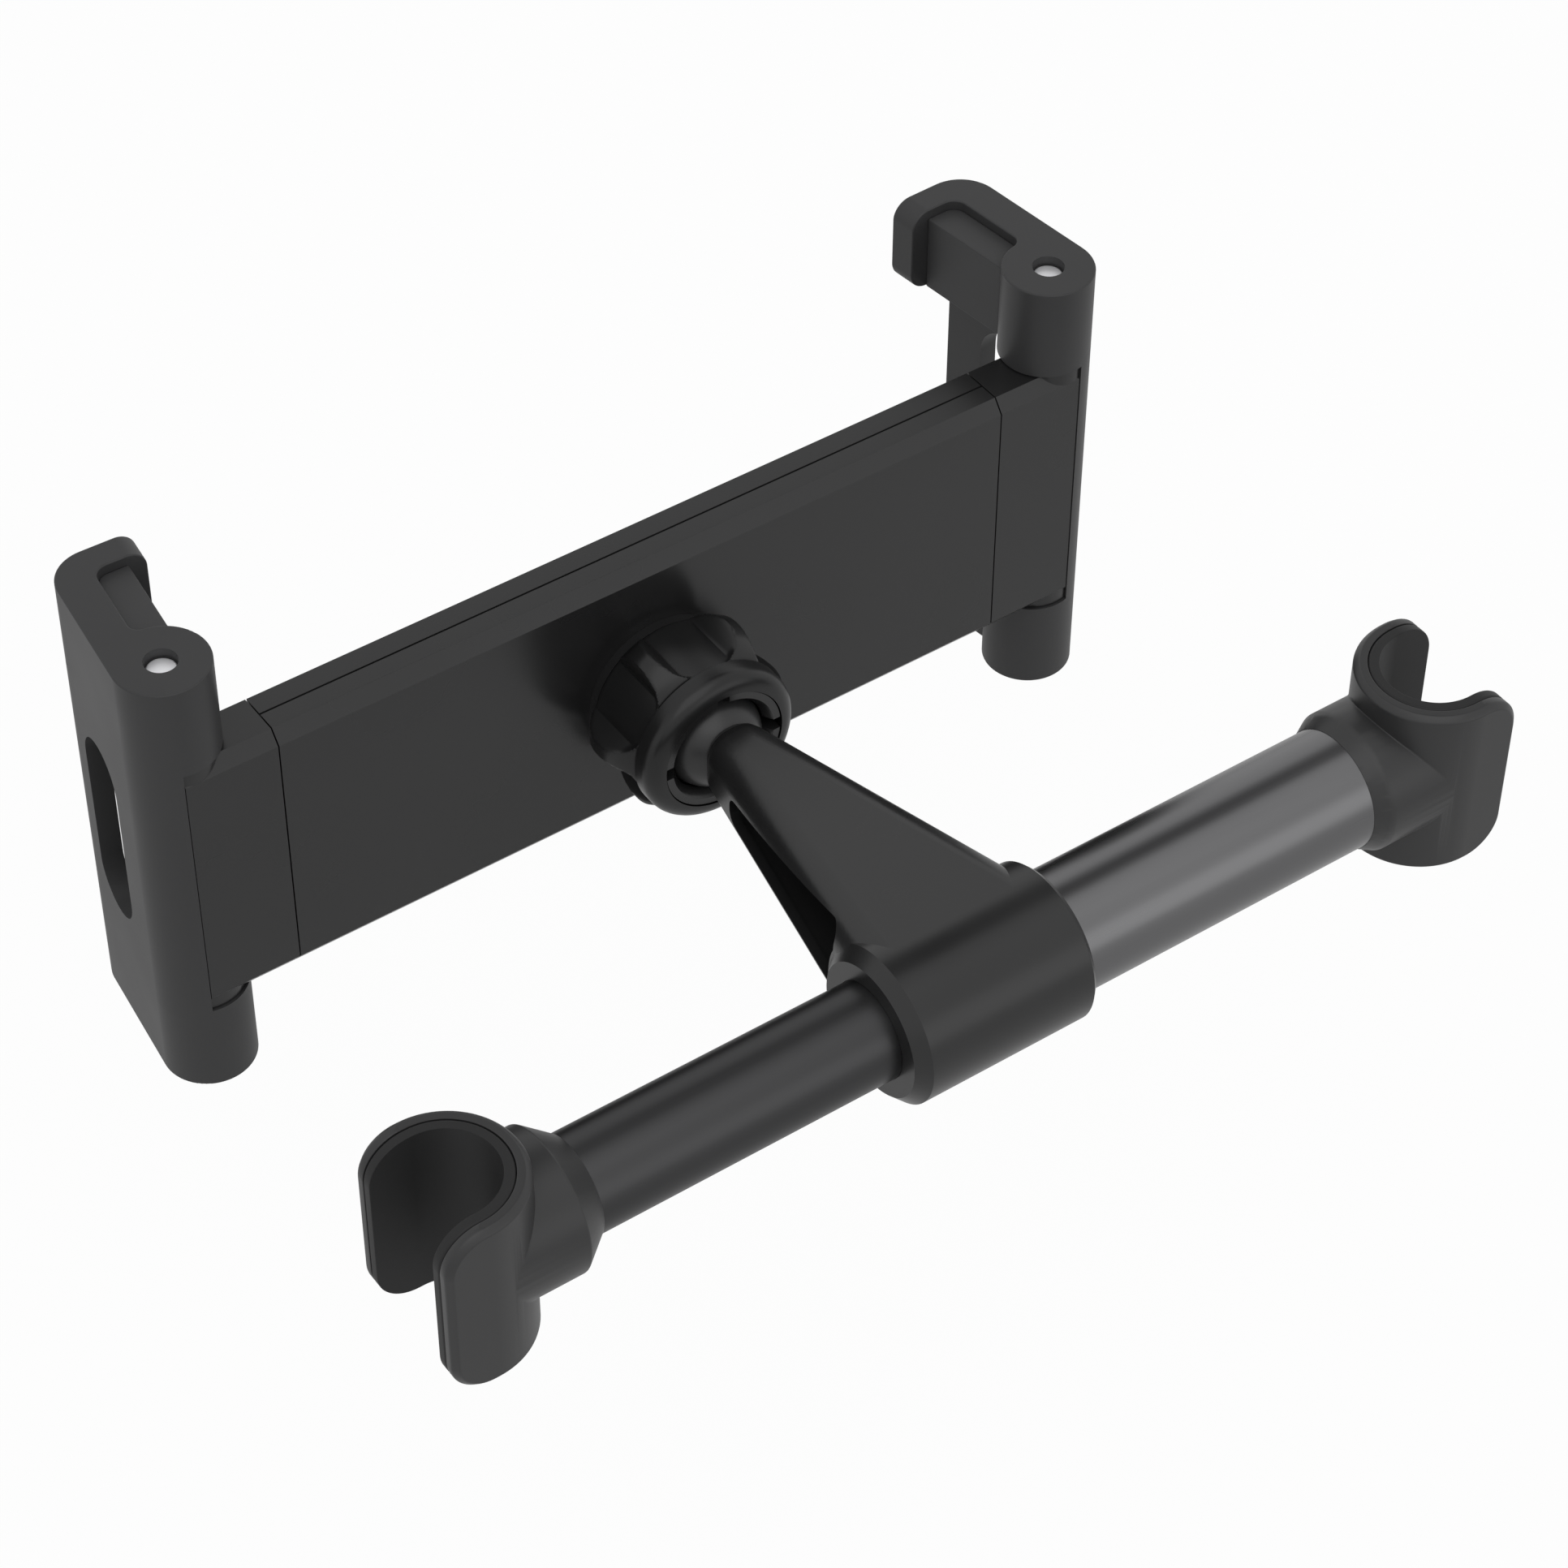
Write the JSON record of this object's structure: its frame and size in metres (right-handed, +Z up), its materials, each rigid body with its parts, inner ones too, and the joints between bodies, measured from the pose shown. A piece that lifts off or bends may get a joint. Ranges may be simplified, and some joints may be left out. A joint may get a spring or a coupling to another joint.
{
  "type": "headrest tablet mount",
  "caption": "Sprung telescopic rod with U clips for headrest posts, carrying an arm, a ball joint with a finned lock ring and a sprung cradle with fold-out padded jaws.",
  "frame": {"origin": "middle of the right-hand headrest post, at mid height of the fixed clip that holds it", "axes": "+X along the rod away from the arm, +Y from the rod towards the tablet, +Z up along the posts"},
  "size_m": [0.173, 0.1141, 0.0752],
  "materials": {
    "body_plastic": "fine satin grain",
    "jaw_plastic": "fine satin grain",
    "clip_plastic": "satin",
    "ring_plastic": "satin",
    "ball_plastic": "smooth satin",
    "tube_metal": "black satin",
    "liner_rubber": "matt",
    "pad_rubber": "matt",
    "inner_plastic": "plain",
    "steel": "bright",
    "spring_steel": "drawn wire"
  },
  "bodies": {
    "rod": {"right_clip": "clip_plastic", "right_clip_liner": "liner_rubber", "outer_tube": "tube_metal", "support_arm": "body_plastic", "rod_spring": "spring_steel"},
    "rod_slider": {"inner_tube": "tube_metal", "left_clip": "clip_plastic", "left_clip_liner": "liner_rubber", "rod_bush": "inner_plastic"},
    "ball": {"ball_stud": "ball_plastic"},
    "dish": {"ball_dish": "liner_rubber"},
    "cradle": {"ball_socket": "body_plastic", "rear_cover": "body_plastic", "front_cover": "body_plastic", "socket_screw": "steel", "cover_screws": "steel", "slide_spring_right": "spring_steel", "slide_spring_left": "spring_steel"},
    "ring": {"lock_ring": "ring_plastic"},
    "right_slide": {"slide_arm_right": "body_plastic", "jaw_pin_right": "steel"},
    "left_slide": {"slide_arm_left": "body_plastic", "jaw_pin_left": "steel"},
    "right_jaw": {"jaw_right": "jaw_plastic", "jaw_pad_upper_right": "pad_rubber", "jaw_pad_lower_right": "pad_rubber"},
    "left_jaw": {"jaw_left": "jaw_plastic", "jaw_pad_upper_left": "pad_rubber", "jaw_pad_lower_left": "pad_rubber"}
  },
  "joints": [
    {"name": "rod_telescope", "type": "slide", "parent": "rod", "child": "rod_slider", "axis": [1, 0, 0], "range_m": [0, 0.04], "stiffness_N_per_m": 300, "springref_m": -0.03, "deforming": ["rod_spring"]},
    {"name": "ball_roll", "type": "hinge", "parent": "rod", "child": "ball", "pos_m": [-0.08095, 0.0586, 0], "axis": [0, 1, 0], "continuous": true},
    {"name": "ball_tilt", "type": "hinge", "parent": "ball", "child": "dish", "pos_m": [-0.08095, 0.0586, 0], "axis": [1, 0, 0], "range_deg": [-14, 14]},
    {"name": "ball_pan", "type": "hinge", "parent": "dish", "child": "cradle", "pos_m": [-0.08095, 0.0586, 0], "axis": [0, 0, 1], "range_deg": [-14, 14]},
    {"name": "lock_ring_turn", "type": "hinge", "parent": "cradle", "child": "ring", "pos_m": [-0.08095, 0.0586, 0], "axis": [0, 1, 0], "range_deg": [0, 180]},
    {"name": "right_reach", "type": "slide", "parent": "cradle", "child": "right_slide", "axis": [1, 0, 0], "range_m": [0, 0.052], "stiffness_N_per_m": 150, "springref_m": -0.03, "deforming": ["slide_spring_right"]},
    {"name": "left_reach", "type": "slide", "parent": "cradle", "child": "left_slide", "axis": [-1, 0, 0], "range_m": [0, 0.052], "stiffness_N_per_m": 150, "springref_m": -0.03, "deforming": ["slide_spring_left"]},
    {"name": "right_jaw_fold", "type": "hinge", "parent": "right_slide", "child": "right_jaw", "pos_m": [-0.00848, 0.07759, 0], "axis": [0, 0, 1], "range_deg": [0, 83]},
    {"name": "left_jaw_fold", "type": "hinge", "parent": "left_slide", "child": "left_jaw", "pos_m": [-0.15342, 0.07759, 0], "axis": [0, 0, -1], "range_deg": [0, 83]}
  ]
}
